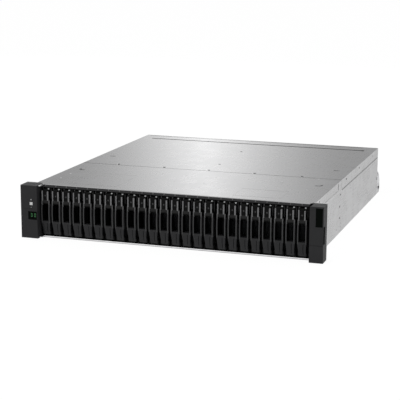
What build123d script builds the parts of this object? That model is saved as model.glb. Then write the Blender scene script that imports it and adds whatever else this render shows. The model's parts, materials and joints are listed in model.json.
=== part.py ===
from build123d import *
import os

# A 19 inch storage enclosure, two rack units high, with 24 drive bays in front and
# controller canisters and power supplies behind.
# Millimetres. X runs left to right as seen from the front, Z up. While a piece is drawn,
# Y is the distance behind the front face of the end caps.

# Drive row
drive_count = 24
drive_pitch = 17.7
bays_per_group = 8
group_gap = 1.8
row_margin = 9.3
row_shift = 1.8

# Drives and their carriers
ssd_length = 100.45
ssd_width = 69.85
ssd_thickness = 14.8
carrier_width = 15.2
carrier_depth = 156.0
rail_thickness = 2.975
bulkhead_thickness = 2.5
bulkhead_set_back = 20.0
vent_slot_width = 4.6
vent_slot_pitch = 5.6
lens_width = 1.9
lens_height = 4.0
lens_drop = 0.2
lens_depth = 2.2
lens_inset = 0.2
cheek_thickness = 1.3
cheek_reach = 2.6
cheek_height = 6.0
cheek_corner = 1.6

# Drive handles
handle_width = 14.0
handle_foot_width = 11.6
handle_top_gap = 0.9
handle_back_gap = 0.3
handle_bow = 10.8
handle_head_depth = 8.8
handle_foot_depth = 5.3
latch_width = 10.8
latch_height = 15.6
latch_depth = 10.1
latch_nose = 1.6
window_width = 10.4
window_height = 27.3
window_sill = 23.6
taper_start = 10.3
taper_end = 21.3
hinge_height = 5.2
foot_radius = 3.1
foot_arc = 45
bow_facets = 5
hinge_pin_radius = 1.0
hinge_clearance = 0.25
pin_sides = 6
button_width = 6.4
button_height = 12.6
button_recess = 1.4
button_pocket_depth = 4.4
button_clearance = 0.3
button_drop = 1.6

# Sheet metal
pan_sheet = 1.2
cage_sheet = 1.2
cover_sheet = 1.0
seam = 0.2
running_gap = 0.3
head_space = 3.8
flange_height = 15.8
cover_split = 200.7
cover_seam = 0.5
cover_tongue = 11.0
cover_bend_radius = 0.9
cover_corner = 3.0
cover_notch_place = 177.0
cover_notch_width = 2.5
cover_notch_height = 8.0
cover_notch_drop = 2.8
lip_set_back = 13.5
lip_depth = 5.0
lip_height = 1.3
cover_set_back = 15.5

# Drive cage
bay_clearance = 0.3
guide_height = 2.0
divider_thickness = 1.5
cage_to_midplane = 5.9

# Rack ears and end caps
ear_width = 17.8
ear_thickness = 2.0
rack_hole_radius = 2.75
rack_hole_from_edge = 8.75
rack_hole_from_end = 4.3
cap_depth = 22.4
cap_wall = 2.0
cap_edge_radius = 1.0
cap_drop = 0.8
left_cap_width = 28.0
right_cap_width = 21.1
display_width = 13.4
display_height = 13.0
display_sill = 30.3
display_margin = 1.3
display_pocket = 1.4
display_lens = 1.2
display_board_thickness = 1.6
display_board_height = 60.0
badge_width = 10.5
badge_height = 28.0
badge_sill = 53.9
badge_margin = 1.4
badge_pocket = 1.0
notch_height = 26.6
notch_sill = 27.4
notch_depth = 9.6
notch_set_back = 1.0
notch_reach = 2.4

# Midplane
connector_depth = 12.0
connector_width = 5.0
connector_height = 42.0
board_thickness = 2.4
midplane_margin = 0.8
midplane_slot_width = 24.0
midplane_slot_height = 10.0
midplane_slot_count = 8
midplane_slot_pitch = 51.0
midplane_slot_drop = 12.0
drive_connector_drop = 10.0
controller_connector_drop = 10.0
rear_connector_depth = 15.3
rear_connector_height = 12.0
controller_connector_width = 80.0
power_connector_width = 40.0

# Rear bays
canister_depth = 301.4
canister_set_in = 2.0
canister_gap = 0.3
canister_sheet = 1.0
shelf_sheet = 1.2
power_bay_width = 106.0
bay_frame_set_back = 4.0
blank_depth = 12.0

# Controller canisters
controller_board_thickness = 1.6
board_rest_height = 4.0
board_rest_width = 6.0
board_end_gap = 6.0
host_port_width = 14.2
host_port_height = 9.6
host_port_pitch = 16.4
host_port_count = 4
host_port_depth = 50.0
host_port_start = 9.0
network_port_width = 13.4
network_port_height = 12.0
network_port_pitch = 17.0
network_port_count = 2
network_port_depth = 21.0
expansion_port_width = 19.0
expansion_port_height = 8.6
expansion_port_pitch = 23.0
expansion_port_count = 2
port_wall = 0.8
port_group_gap = 12.0
lever_length = 62.0
lever_height = 7.0
lever_depth = 5.0
lever_grip_length = 12.0
lever_grip_depth = 16.0
lever_inset = 4.0
heat_sink_length = 70.0
heat_sink_width = 60.0
heat_sink_height = 16.0
heat_sink_base = 4.0
heat_sink_fin = 1.6
heat_sink_fin_count = 8
heat_sink_set_back = 110.0

# Power supplies
fan_radius = 17.0
fan_frame_width = 38.0
fan_frame_depth = 28.0
fan_hub_radius = 6.5
fan_tip_gap = 0.7
fan_duct_sides = 20
fan_blade_count = 5
fan_blade_thickness = 1.6
fan_blade_chord = 14.0
fan_blade_pitch = 40.0
fan_blade_reach = 12.6
fan_place = 26.0
fan_bar = 1.3
guard_slot_count = 6
guard_slot_pitch = 5.4
guard_slot_width = 3.9
inlet_width = 27.4
inlet_height = 20.0
inlet_depth = 16.0
inlet_wall = 1.4
inlet_place = 69.0
inlet_floor = 6.0
blade_width = 2.0
blade_height = 4.0
blade_length = 10.0
blade_spread = 7.0

# Levers of the power supplies
bail_width = 9.4
bail_thickness = 3.0
bail_side_gap = 0.5
bail_reach = 35.8
bail_boss_radius = 3.6
bail_boss_sides = 16
bail_ring_sides = 32
bail_pin_radius = 1.5
bail_pin_sides = 8
bail_pin_height = 37.4
bail_pin_set_out = 5.0
bail_lug_width = 4.0
bail_lug_gap = 0.3
bail_foot_height = 1.2
bail_middle_height = 8.0

# Sizes that follow from the ones above
group_count = drive_count // bays_per_group
row_width = drive_count * drive_pitch + (group_count - 1) * group_gap
body_width = row_width + 2 * row_margin
side = body_width / 2
panel_side = side + ear_width
carrier_height = ssd_width + 2 * rail_thickness
cage_floor = pan_sheet + cage_sheet
carrier_bottom = cage_floor + running_gap
carrier_top = carrier_bottom + carrier_height
cage_ceiling = carrier_top + running_gap
cage_top = cage_ceiling + cage_sheet
cover_bottom = cage_top + head_space
body_height = cover_bottom + cover_sheet
flange_bottom = body_height - flange_height
cover_inner = side - cover_sheet
wall_top_outer = cover_inner - seam
wall_top_inner = wall_top_outer - pan_sheet
wall_bottom_inner = side - pan_sheet
cap_height = body_height - cap_drop
left_cap_edge = -panel_side + left_cap_width
right_cap_edge = panel_side - right_cap_width
ear_back = cap_depth + ear_thickness
behind_ear = ear_back + running_gap

drive_back = bulkhead_set_back + carrier_depth
midplane_front = drive_back + connector_depth
midplane_back = midplane_front + board_thickness
cage_back = midplane_front - cage_to_midplane
canister_front = midplane_back + rear_connector_depth + running_gap
canister_back = canister_front + canister_depth
body_back = canister_back + canister_set_in
overall_depth = body_back + bail_reach

level_height = (cover_bottom - pan_sheet - shelf_sheet) / 2
canister_height = level_height - 2 * canister_gap
level_floors = (pan_sheet, pan_sheet + level_height + shelf_sheet)
shelf_bottom = pan_sheet + level_height
bay_wall_outer = wall_bottom_inner - power_bay_width
bay_wall_inner = bay_wall_outer - shelf_sheet
controller_side = bay_wall_inner - canister_gap

hinge_y = bulkhead_set_back - handle_back_gap - foot_radius
hinge_z = carrier_bottom + hinge_height
handle_back = bulkhead_set_back - handle_back_gap
handle_top = carrier_top - handle_top_gap
window_low = carrier_bottom + window_sill
window_high = window_low + window_height
latch_top = handle_top - latch_nose
latch_bottom = latch_top - latch_height


def bay_center(number):
    """Middle of a drive bay across the width, counted from 0 at the left."""
    group = number // bays_per_group
    shift = group - (group_count - 1) / 2
    return (number - (drive_count - 1) / 2) * drive_pitch + shift * group_gap + row_shift


def divider_center(number):
    """Middle of the wall between one group of bays and the next."""
    last = (number + 1) * bays_per_group
    return (bay_center(last - 1) + bay_center(last)) / 2


def block(width, depth, height):
    """A plain block, given its low and high place in X, Y and Z."""
    size = [span[1] - span[0] for span in (width, depth, height)]
    middle = [(span[1] + span[0]) / 2 for span in (width, depth, height)]
    return Pos(*middle) * Box(*size)


def rectangle(across, up):
    """A rectangle in a drawing, given its low and high place both ways."""
    size = [span[1] - span[0] for span in (across, up)]
    middle = [(span[1] + span[0]) / 2 for span in (across, up)]
    return Pos(*middle) * Rectangle(*size)


def along_width(drawing, low, high):
    """A solid whose outline is drawn from the side, in Y and Z."""
    return extrude(Plane.YZ.offset(low) * drawing, amount=high - low)


def along_depth(drawing, front, back):
    """A solid whose outline is drawn from the front, in X and Z."""
    plane = Plane((0, back, 0), x_dir=(1, 0, 0), z_dir=(0, -1, 0))
    return extrude(plane * drawing, amount=back - front)


def along_height(drawing, bottom, top):
    """A solid whose outline is drawn from above, in X and Y."""
    return extrude(Plane.XY.offset(bottom) * drawing, amount=top - bottom)


def both_halves(drawing):
    """A drawing together with its mirror image across X 0."""
    return drawing + mirror(drawing, Plane.YZ)


def both_sides(solid):
    """A solid of the right side together with its mirror image on the left."""
    return solid + mirror(solid, Plane.YZ)


def make_base_pan():
    """Floor, side walls with a joggle below the cover flanges, folded front lip and rack ears."""
    joggle_top = flange_bottom - running_gap
    joggle_bottom = joggle_top - (side - wall_top_outer)
    wall = Polygon(
        (wall_bottom_inner, 0),
        (side, 0),
        (side, joggle_bottom),
        (wall_top_outer, joggle_top),
        (wall_top_outer, cover_bottom),
        (wall_top_inner, cover_bottom),
        (wall_top_inner, joggle_top),
        (wall_bottom_inner, joggle_bottom),
        align=None,
    )
    floor = rectangle((-side, side), (0, pan_sheet))
    pan = along_depth(floor + both_halves(wall), cap_depth, body_back)
    between_caps = (left_cap_edge + running_gap, right_cap_edge - running_gap)
    pan += block(between_caps, (lip_set_back, cap_depth), (0, pan_sheet))
    fold = (lip_set_back, lip_set_back + lip_depth)
    pan += block(between_caps, fold, (pan_sheet, pan_sheet + lip_height))
    ear = rectangle((wall_top_inner, panel_side), (0, body_height))
    hole_x = panel_side - rack_hole_from_edge
    for hole_z in (rack_hole_from_end, body_height - rack_hole_from_end):
        ear -= Pos(hole_x, hole_z) * Circle(rack_hole_radius)
    pan += both_sides(along_depth(ear, cap_depth, ear_back))
    return pan


def make_bay_frame():
    """Shelf and two partitions that carry the canisters, standing on the pan floor."""
    shelf_span = (shelf_bottom, shelf_bottom + shelf_sheet)
    frame = rectangle((-wall_bottom_inner, wall_bottom_inner), shelf_span)
    wall = rectangle((bay_wall_inner, bay_wall_outer), (pan_sheet, cover_bottom))
    front = canister_front + bay_frame_set_back
    return along_depth(frame + both_halves(wall), front, body_back)


def make_power_bay_blank():
    """Shallow folded cover that closes the empty upper power bay on the right."""
    low = bay_wall_outer + canister_gap
    high = wall_top_inner - canister_gap
    bottom = level_floors[1]
    top = bottom + canister_height
    outer = block((low, high), (canister_back - blank_depth, canister_back), (bottom, top))
    inner = block(
        (low + canister_sheet, high - canister_sheet),
        (canister_back - blank_depth, canister_back - canister_sheet),
        (bottom + canister_sheet, top - canister_sheet),
    )
    return outer - inner


def cover(front, back):
    """Top plate with a flange down each side, between two places along the depth."""
    outline = rectangle((-side, side), (flange_bottom, body_height))
    outline = fillet(outline.vertices().sort_by(Axis.Y)[-2:], cover_bend_radius)
    inside = rectangle((-cover_inner, cover_inner), (flange_bottom, cover_bottom))
    return along_depth(outline - inside, front, back)


def make_front_cover():
    """Front cover, notched for the ears and the end caps."""
    plate = cover(behind_ear, cover_split - cover_seam)
    shoulder = (-wall_top_inner, wall_top_inner)
    shelf = rectangle(shoulder, (cap_depth, behind_ear))
    between_caps = (left_cap_edge + running_gap, right_cap_edge - running_gap)
    nose = rectangle(between_caps, (cover_set_back, cap_depth))
    nose = chamfer(nose.vertices().sort_by(Axis.Y)[:2], cover_corner)
    plate += along_height(nose + shelf, cover_bottom, body_height)
    notch_top = body_height - cover_notch_drop
    notch = block(
        (cover_inner - cover_sheet, side + cover_sheet),
        (cover_notch_place - cover_notch_width / 2, cover_notch_place + cover_notch_width / 2),
        (notch_top - cover_notch_height, notch_top),
    )
    return plate - both_sides(notch)


def make_rear_cover():
    """Rear cover, whose front edge steps down under the front cover."""
    tongue = (cover_split - cover_tongue, cover_split + cover_sheet)
    tongue_span = (-wall_top_inner + running_gap, wall_top_inner - running_gap)
    plate = cover(cover_split, body_back)
    return plate + block(tongue_span, tongue, (cover_bottom - cover_sheet, cover_bottom))


def make_drive_cage():
    """Guides above and below every bay, with dividers between the groups of bays."""
    half = wall_top_inner - running_gap
    drawing = rectangle((-half, half), (pan_sheet, cage_top))
    bay_half = carrier_width / 2 + bay_clearance
    for number in range(drive_count):
        middle = bay_center(number)
        drawing -= rectangle((middle - bay_half, middle + bay_half), (cage_floor, cage_ceiling))
    walls = [divider_center(number) for number in range(group_count - 1)]
    lows = [-half + cage_sheet] + [wall + divider_thickness / 2 for wall in walls]
    highs = [wall - divider_thickness / 2 for wall in walls] + [half - cage_sheet]
    between_guides = (cage_floor + guide_height, cage_ceiling - guide_height)
    for low, high in zip(lows, highs):
        drawing -= rectangle((low, high), between_guides)
    cage = along_depth(drawing, behind_ear, cage_back)
    between_caps = (left_cap_edge + running_gap, right_cap_edge - running_gap)
    fold_back = lip_set_back + lip_depth
    cage += block(between_caps, (fold_back, behind_ear), (pan_sheet, cage_floor))
    cage += block(between_caps, (bulkhead_set_back, behind_ear), (cage_ceiling, cage_top))
    cage += block(between_caps, (cover_set_back, behind_ear), (cage_top, cage_top + cage_sheet))
    strip = (cover_set_back, cover_set_back + cage_sheet)
    cage += block(between_caps, strip, (cage_top, cover_bottom))
    return cage


def make_midplane():
    """Board with a connector for each drive in front and one for each canister behind."""
    half = wall_top_inner - midplane_margin
    drawing = rectangle((-half, half), (pan_sheet, cage_top))
    slot_middle = cage_top - midplane_slot_drop
    first = -(midplane_slot_count - 1) / 2 * midplane_slot_pitch
    for number in range(midplane_slot_count):
        middle = first + number * midplane_slot_pitch
        drawing -= Pos(middle, slot_middle) * Rectangle(midplane_slot_width, midplane_slot_height)
    pieces = [along_depth(drawing, midplane_front, midplane_back)]
    drive_middle = carrier_bottom + carrier_height / 2 - drive_connector_drop
    connector_span = (drive_middle - connector_height / 2, drive_middle + connector_height / 2)
    for number in range(drive_count):
        middle = bay_center(number)
        across = (middle - connector_width / 2, middle + connector_width / 2)
        pieces.append(block(across, (drive_back + running_gap, midplane_front), connector_span))
    behind = (midplane_back, midplane_back + rear_connector_depth)
    power_middle = (bay_wall_outer + wall_bottom_inner) / 2
    for middle, width, floor in (
        (0, controller_connector_width, level_floors[0]),
        (0, controller_connector_width, level_floors[1] - controller_connector_drop),
        (power_middle, power_connector_width, level_floors[0]),
        (-power_middle, power_connector_width, level_floors[0]),
    ):
        low = floor + (canister_height - rear_connector_height) / 2
        up = (low, low + rear_connector_height)
        pieces.append(block((middle - width / 2, middle + width / 2), behind, up))
    return pieces


def end_cap(low, high):
    """Moulded cap over one rack ear, hollow behind, open at the back."""
    shell = block((low, high), (0, cap_depth), (0, cap_height))
    shell = fillet(shell.faces().sort_by(Axis.Y)[0].edges(), cap_edge_radius)
    hollow = block(
        (low + cap_wall, high - cap_wall),
        (cap_wall, cap_depth),
        (cap_wall, cap_height - cap_wall),
    )
    return shell - hollow


def make_left_end_cap():
    """Left cap with the display lens in its pocket and the display board behind."""
    cap = end_cap(-panel_side, left_cap_edge)
    high = left_cap_edge - display_margin
    low = high - display_width
    up = (display_sill, display_sill + display_height)
    cap -= block((low, high), (0, display_pocket), up)
    lens = block((low, high), (display_pocket - display_lens, display_pocket), up)
    board = block(
        (low - cap_wall, left_cap_edge - cap_wall),
        (cap_wall, cap_wall + display_board_thickness),
        (cap_wall, cap_wall + display_board_height),
    )
    return [cap, lens, board]


def make_right_end_cap():
    """Right cap with a shallow badge recess and a finger notch in its outer side."""
    cap = end_cap(right_cap_edge, panel_side)
    high = panel_side - badge_margin
    badge = (high - badge_width, high)
    cap -= block(badge, (0, badge_pocket), (badge_sill, badge_sill + badge_height))
    notch = (notch_set_back, notch_set_back + notch_depth)
    up = (notch_sill, notch_sill + notch_height)
    cap -= block((panel_side - notch_reach, panel_side), notch, up)
    return cap


def make_drive_carrier(middle):
    """Carrier frame with its hinge cheeks, pin and vents, a drive between its rails, two lenses."""
    half = carrier_width / 2
    inside = rectangle(
        (bulkhead_set_back + bulkhead_thickness, drive_back),
        (carrier_bottom + rail_thickness, carrier_top - rail_thickness),
    )
    drawing = rectangle((bulkhead_set_back, drive_back), (carrier_bottom, carrier_top)) - inside
    frame = along_width(drawing, -half, half)
    slot = rectangle((-vent_slot_width / 2, vent_slot_width / 2), (window_low, window_high))
    slots = both_halves(Pos(vent_slot_pitch / 2, 0) * slot)
    back = bulkhead_set_back + bulkhead_thickness
    frame -= along_depth(slots, bulkhead_set_back, back)
    cheek_up = (hinge_z - cheek_height / 2, hinge_z + cheek_height / 2)
    cheek = rectangle((hinge_y - cheek_reach, bulkhead_set_back), cheek_up)
    cheek = chamfer(cheek.vertices().sort_by(Axis.X)[:2], cheek_corner)
    inner = handle_foot_width / 2 + running_gap
    frame += both_sides(along_width(cheek, inner, inner + cheek_thickness))
    pin = Pos(hinge_y, hinge_z) * RegularPolygon(hinge_pin_radius, pin_sides)
    frame += along_width(pin, -inner, inner)
    drive = block(
        (-ssd_thickness / 2, ssd_thickness / 2),
        (drive_back - ssd_length, drive_back),
        (carrier_bottom + rail_thickness, carrier_top - rail_thickness),
    )
    lens = block(
        (half - lens_inset - lens_width, half - lens_inset),
        (bulkhead_set_back - lens_depth, bulkhead_set_back),
        (carrier_top - lens_drop - lens_height, carrier_top - lens_drop),
    )
    pieces = [frame, drive, lens, mirror(lens, Plane.YZ)]
    return [Pos(middle, 0, 0) * piece for piece in pieces]


def handle_bow_points(foot, head_y):
    """Points up the bowed front of a handle, on the parabola through its foot, bow and head."""
    rise = latch_bottom - foot[1]
    bow_y = handle_back - handle_bow
    sag = bow_y - (foot[0] + head_y) / 2
    points = []
    for number in range(bow_facets + 1):
        part = number / bow_facets
        straight = foot[0] + (head_y - foot[0]) * part
        points.append((straight + 4 * sag * part * (1 - part), foot[1] + rise * part))
    return points


def handle_side_outline():
    """Side outline of a handle: flat back, round foot about the hinge, bowed front, latch block."""
    foot_z = hinge_z - foot_radius
    head_y = handle_back - handle_head_depth
    latch_y = handle_back - latch_depth
    around_hinge = CenterArc((hinge_y, hinge_z), foot_radius, 0, -foot_arc)
    front = [(hinge_y, foot_z)] + handle_bow_points((handle_back - handle_foot_depth, foot_z), head_y)
    front += [
        (latch_y, latch_bottom + latch_nose),
        (latch_y, latch_top),
        (hinge_y - foot_radius, handle_top),
        (handle_back, handle_top),
    ]
    return make_face([around_hinge, Polyline(around_hinge @ 1, *front, around_hinge @ 0)])


def handle_front_outline():
    """Front outline of a handle: narrow foot, full width beside the window, narrower latch block."""
    wide = handle_width / 2
    foot = handle_foot_width / 2
    latch = latch_width / 2
    low = hinge_z - foot_radius
    taper_low = carrier_bottom + taper_start
    taper_high = carrier_bottom + taper_end
    half = Polygon(
        (0, low),
        (foot, low),
        (foot, taper_low),
        (wide, taper_high),
        (wide, latch_bottom),
        (latch, latch_bottom + latch_nose),
        (latch, handle_top),
        (0, handle_top),
        align=None,
    )
    return both_halves(half)


def make_drive_handle(middle):
    """Cam handle of one drive, with its window, hinge bore and the release button in its pocket."""
    wide = handle_width / 2
    latch_front = handle_back - latch_depth
    handle = along_width(handle_side_outline(), -wide, wide)
    handle &= along_depth(handle_front_outline(), latch_front - handle_bow, handle_back)
    window = rectangle((-window_width / 2, window_width / 2), (window_low, window_high))
    handle -= along_depth(window, latch_front - handle_bow, handle_back)
    bore = Pos(hinge_y, hinge_z) * RegularPolygon(hinge_pin_radius + hinge_clearance, pin_sides)
    handle -= along_width(bore, -wide, wide)
    pocket_half = button_width / 2 + button_clearance
    button_top = latch_top - button_drop
    button_low = button_top - button_height
    pocket_back = latch_front + button_pocket_depth
    handle -= block(
        (-pocket_half, pocket_half),
        (latch_front - latch_nose, pocket_back),
        (button_low - button_clearance, button_top + button_clearance),
    )
    button = block(
        (-button_width / 2, button_width / 2),
        (latch_front + button_recess, pocket_back),
        (button_low, button_top),
    )
    return [Pos(middle, 0, 0) * piece for piece in (handle, button)]


def port_row(start, count, width, height, pitch, floor):
    """Openings of one row of ports in the rear wall of a canister, drawn from the front."""
    spans = [(start + number * pitch, start + number * pitch + width) for number in range(count)]
    return [(span, (floor, floor + height)) for span in spans]


def make_controller(level):
    """Controller canister: sheet-metal housing, board, ports, heat sink and cam lever."""
    bottom = level_floors[level] + canister_gap
    top = bottom + canister_height
    inner_bottom = bottom + canister_sheet
    board_floor = inner_bottom + board_rest_height
    board_top = board_floor + controller_board_thickness
    housing = block((-controller_side, controller_side), (canister_front, canister_back), (bottom, top))
    housing -= block(
        (-controller_side + canister_sheet, controller_side - canister_sheet),
        (canister_front + canister_sheet, canister_back - canister_sheet),
        (inner_bottom, top - canister_sheet),
    )
    rest = block(
        (controller_side - canister_sheet - board_rest_width, controller_side - canister_sheet),
        (canister_front + canister_sheet, canister_back - canister_sheet),
        (inner_bottom, board_floor),
    )
    housing += both_sides(rest)
    inside_back = canister_back - canister_sheet
    start = -controller_side + host_port_start
    host = port_row(start, host_port_count, host_port_width, host_port_height, host_port_pitch, board_top)
    start += host_port_count * host_port_pitch + port_group_gap
    network = port_row(
        start,
        network_port_count,
        network_port_width,
        network_port_height,
        network_port_pitch,
        board_top,
    )
    start += network_port_count * network_port_pitch + port_group_gap
    expansion = port_row(
        start,
        expansion_port_count,
        expansion_port_width,
        expansion_port_height,
        expansion_port_pitch,
        board_top,
    )
    depths = [host_port_depth] * len(host)
    depths += [network_port_depth] * len(network)
    depths += [host_port_depth] * len(expansion)
    pieces = []
    for (across, up), depth in zip(host + network + expansion, depths):
        hole = ((across[0] + port_wall, across[1] - port_wall), (up[0] + port_wall, up[1] - port_wall))
        housing -= block(hole[0], (inside_back, canister_back), hole[1])
        cage = block(across, (inside_back - depth, inside_back), up)
        cage -= block(hole[0], (inside_back - depth + port_wall, inside_back), hole[1])
        pieces.append(cage)
    board = block(
        (-controller_side + canister_sheet, controller_side - canister_sheet),
        (canister_front + board_end_gap, inside_back),
        (board_floor, board_top),
    )
    sink_front = canister_front + heat_sink_set_back
    sink_depth = (sink_front, sink_front + heat_sink_length)
    sink = rectangle((-heat_sink_width / 2, heat_sink_width / 2), (board_top, board_top + heat_sink_base))
    fin_pitch = (heat_sink_width - heat_sink_fin) / (heat_sink_fin_count - 1)
    for number in range(heat_sink_fin_count):
        low = -heat_sink_width / 2 + number * fin_pitch
        sink += rectangle((low, low + heat_sink_fin), (board_top, board_top + heat_sink_height))
    lever_high = controller_side - lever_inset
    lever_up = (inner_bottom, inner_bottom + lever_height)
    lever_back = canister_back + lever_depth
    lever = block((lever_high - lever_length, lever_high), (canister_back, lever_back), lever_up)
    grip = (lever_high - lever_length, lever_high - lever_length + lever_grip_length)
    lever += block(grip, (canister_back, canister_back + lever_grip_depth), lever_up)
    return [housing, board, along_depth(sink, *sink_depth), lever] + pieces


def make_fan(middle_x, middle_z, back):
    """Square fan behind the guard: frame with a round duct, and a rotor with pitched blades."""
    half = fan_frame_width / 2
    duct = fan_radius + fan_tip_gap
    square = rectangle((middle_x - half, middle_x + half), (middle_z - half, middle_z + half))
    hole = Pos(middle_x, middle_z) * RegularPolygon(duct, fan_duct_sides)
    frame = along_depth(square - hole, back - fan_frame_depth, back)
    bar_depth = (back - fan_frame_depth, back - fan_frame_depth + fan_bar)
    bar = rectangle((middle_x - duct, middle_x + duct), (middle_z - fan_bar, middle_z + fan_bar))
    frame += along_depth(bar, *bar_depth)
    rotor_front = bar_depth[1] + running_gap
    hub = RegularPolygon(fan_hub_radius, 2 * fan_blade_count)
    rotor = along_depth(hub, rotor_front, rotor_front + fan_blade_chord)
    blade = Box(fan_blade_thickness, fan_blade_chord, fan_blade_reach)
    blade = Pos(0, 0, fan_hub_radius / 2 + fan_blade_reach / 2) * Rot(0, 0, fan_blade_pitch) * blade
    blade = Pos(0, rotor_front + fan_blade_chord / 2, 0) * blade
    for number in range(fan_blade_count):
        rotor += Rot(0, number * 360 / fan_blade_count, 0) * blade
    return [frame, Pos(middle_x, 0, middle_z) * rotor]


def make_power_supply():
    """Right power supply: housing with fan guard, fan, inlet with its three blades, lever lug."""
    low = bay_wall_outer + canister_gap
    high = wall_bottom_inner - canister_gap
    bottom = level_floors[0] + canister_gap
    top = bottom + canister_height
    inside_back = canister_back - canister_sheet
    housing = block((low, high), (canister_front, canister_back), (bottom, top))
    housing -= block(
        (low + canister_sheet, high - canister_sheet),
        (canister_front + canister_sheet, inside_back),
        (bottom + canister_sheet, top - canister_sheet),
    )
    fan_x = low + fan_place
    fan_z = (bottom + top) / 2
    guard = Sketch()
    for number in range(guard_slot_count):
        shift = (number - (guard_slot_count - 1) / 2) * guard_slot_pitch
        length = 2 * (fan_radius**2 - shift**2) ** 0.5
        guard += Pos(shift, 0) * Rectangle(guard_slot_width, length)
    housing -= along_depth(Pos(fan_x, fan_z) * guard, inside_back, canister_back)
    inlet_x = low + inlet_place
    inlet_low = bottom + inlet_floor
    across = (inlet_x - inlet_width / 2, inlet_x + inlet_width / 2)
    up = (inlet_low, inlet_low + inlet_height)
    hole = rectangle(
        (across[0] + inlet_wall, across[1] - inlet_wall),
        (up[0] + inlet_wall, up[1] - inlet_wall),
    )
    housing -= along_depth(hole, inside_back, canister_back)
    socket = block(across, (inside_back - inlet_depth, inside_back), up)
    socket -= along_depth(hole, inside_back - inlet_depth + inlet_wall, inside_back)
    blade_z = (up[0] + up[1]) / 2
    blade_front = inside_back - inlet_depth + inlet_wall
    for shift, rise in ((-blade_spread, 0), (0, blade_width), (blade_spread, 0)):
        blade = (inlet_x + shift - blade_width / 2, inlet_x + shift + blade_width / 2)
        blade_up = (blade_z + rise - blade_height / 2, blade_z + rise + blade_height / 2)
        socket += block(blade, (blade_front, blade_front + blade_length), blade_up)
    lug_x = high - bail_side_gap - bail_width / 2
    pin_y = canister_back + bail_pin_set_out
    lug = Pos(pin_y, bail_pin_height) * Circle(bail_boss_radius - bail_lug_gap)
    lug_half = bail_boss_radius - bail_lug_gap
    lug += rectangle((canister_back, pin_y), (bail_pin_height - lug_half, bail_pin_height + lug_half))
    housing += along_width(lug, lug_x - bail_lug_width / 2, lug_x + bail_lug_width / 2)
    pin = Pos(pin_y, bail_pin_height) * RegularPolygon(bail_pin_radius, bail_pin_sides)
    housing += along_width(pin, lug_x - bail_width / 2, lug_x + bail_width / 2)
    return [housing, socket] + make_fan(fan_x, fan_z, inside_back)


def make_power_lever():
    """Right power lever: a bowed bail that hangs from the lug of its power supply."""
    high = wall_bottom_inner - canister_gap - bail_side_gap
    low = high - bail_width
    pin_y = canister_back + bail_pin_set_out
    rise = bail_pin_height + bail_boss_radius - bail_middle_height
    reach = overall_depth - pin_y
    radius = (reach**2 + rise**2) / (2 * reach)
    middle_y = overall_depth - radius
    ring = RegularPolygon(radius, bail_ring_sides)
    ring -= RegularPolygon(radius - bail_thickness, bail_ring_sides)
    ring = Pos(middle_y, bail_middle_height) * ring
    ring -= rectangle((middle_y - radius, pin_y), (-radius, 2 * radius))
    ring -= rectangle((pin_y, overall_depth), (-radius, bail_foot_height))
    outline = ring + Pos(pin_y, bail_pin_height) * RegularPolygon(bail_boss_radius, bail_boss_sides)
    bail = along_width(outline, low, high)
    middle = (low + high) / 2
    slot_half = bail_lug_width / 2 + bail_lug_gap
    room_side = 2 * (bail_boss_radius + bail_lug_gap)
    room = Pos(pin_y, bail_pin_height) * Rectangle(room_side, room_side)
    bail -= along_width(room, middle - slot_half, middle + slot_half)
    bore = RegularPolygon(bail_pin_radius + hinge_clearance, bail_pin_sides)
    return bail - along_width(Pos(pin_y, bail_pin_height) * bore, low, high)


def save(name, pieces):
    """Write one named sub-part, moved so that the middle of the whole depth lies at Y 0."""
    shape = Compound(children=[piece for solid in pieces for piece in solid.solids()])
    export_step(Pos(0, -overall_depth / 2, 0) * shape, f"parts/{name}.step")


def left_of(pieces):
    """The mirror images on the left side of pieces of the right side."""
    return [mirror(piece, Plane.YZ) for piece in pieces]


os.makedirs("parts", exist_ok=True)
blank = make_power_bay_blank()
save("base_pan", [make_base_pan(), make_bay_frame(), blank] + left_of([blank]))
save("top_covers", [make_front_cover(), make_rear_cover()])
save("drive_cage", [make_drive_cage()])
save("midplane", make_midplane())
save("left_end_cap", make_left_end_cap())
save("right_end_cap", [make_right_end_cap()])
for place in range(drive_count):
    save(f"drive_carrier_{place + 1:02d}", make_drive_carrier(bay_center(place)))
    save(f"drive_handle_{place + 1:02d}", make_drive_handle(bay_center(place)))
save("controller_lower", make_controller(0))
save("controller_upper", make_controller(1))
power_supply = make_power_supply()
power_lever = make_power_lever()
save("power_supply_right", power_supply)
save("power_supply_left", left_of(power_supply))
save("power_lever_right", [power_lever])
save("power_lever_left", left_of([power_lever]))
print("overall depth", overall_depth, "body", body_width, body_height, "rear edge", body_back)
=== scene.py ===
# %% [markdown]
# # A storage array with 24 drive bays, dressed in Blender
#
# The shapes of this object come from a CAD model. This script loads them as a fixed frame and
# adds what the CAD leaves out: the moulded drive handles, rivets, vents, lenses and the finish
# of every surface. The model is in metres. X runs to the right, Y to the back and Z up, and
# the object stands centred on the floor.

# %% Load the frame
import json
import math

import bmesh
import bpy
from mathutils import Matrix, Quaternion, Vector


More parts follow.
